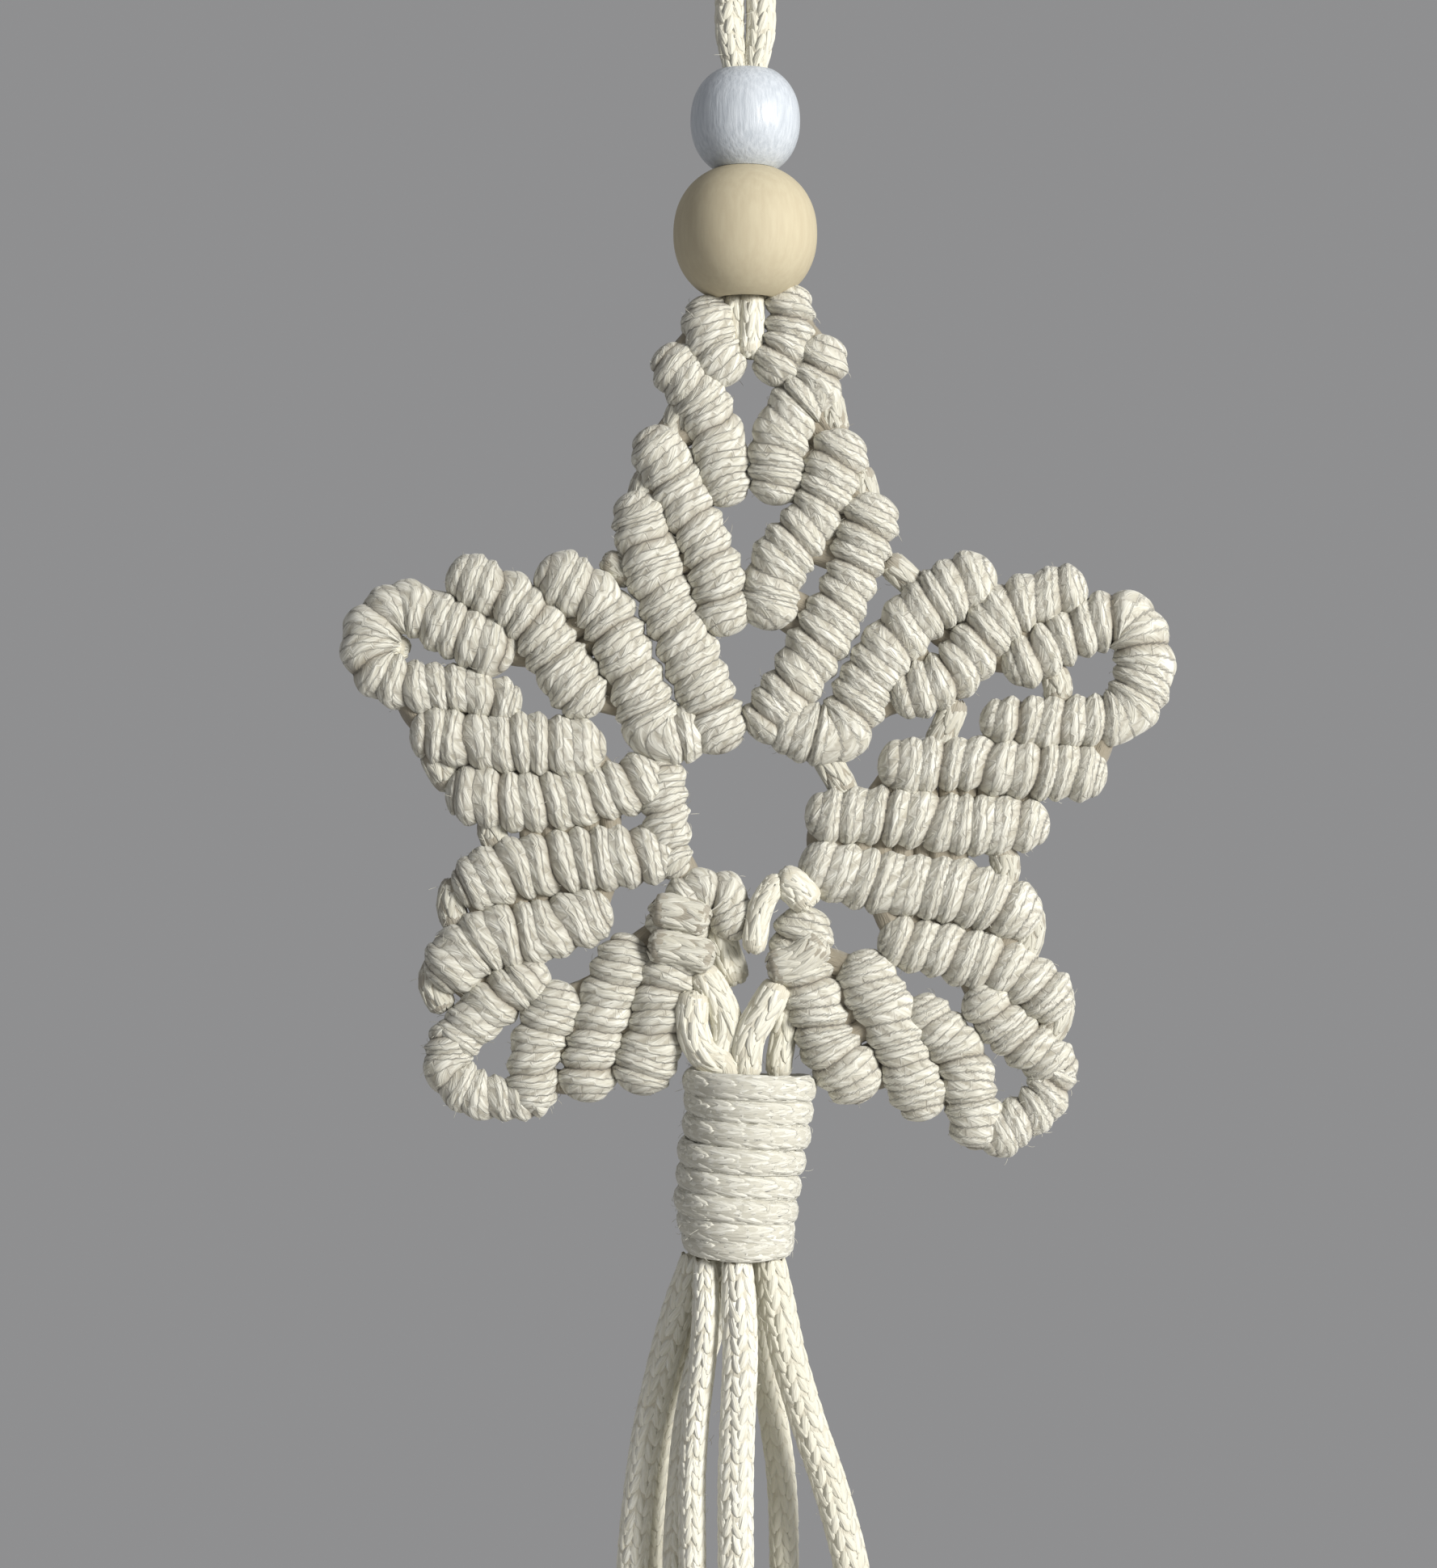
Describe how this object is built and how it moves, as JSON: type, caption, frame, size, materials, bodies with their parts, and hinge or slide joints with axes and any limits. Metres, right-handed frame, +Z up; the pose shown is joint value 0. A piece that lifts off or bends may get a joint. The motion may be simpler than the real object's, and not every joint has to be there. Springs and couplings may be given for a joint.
{
  "type": "macrame star hanging",
  "caption": "Hanging cotton ornament: a cord loop with two wooden beads over a knotted five-pointed star, a wrapped neck and a tassel of free cords.",
  "frame": {"origin": "inner top of the hanging loop, where a nail or hook bears", "axes": "+Z up, the front of the star towards -Y, +X to the right as seen from the front"},
  "size_m": [0.0921, 0.0163, 0.2502],
  "materials": {
    "cotton_cord": "undyed braided cotton, matt and slightly fuzzy",
    "white_paint": "wood painted white, satin",
    "natural_wood": "pale bare wood, sanded smooth"
  },
  "bodies": {
    "root": {"hanging_loop": "cotton_cord", "white_bead": "white_paint", "natural_bead": "natural_wood", "knotted_star": "cotton_cord", "gathering_wrap": "cotton_cord", "tassel_strand_1": "cotton_cord", "tassel_strand_2": "cotton_cord", "tassel_strand_3": "cotton_cord", "tassel_strand_4": "cotton_cord", "tassel_strand_5": "cotton_cord", "tassel_strand_6": "cotton_cord", "tassel_strand_7": "cotton_cord"}
  },
  "joints": []
}
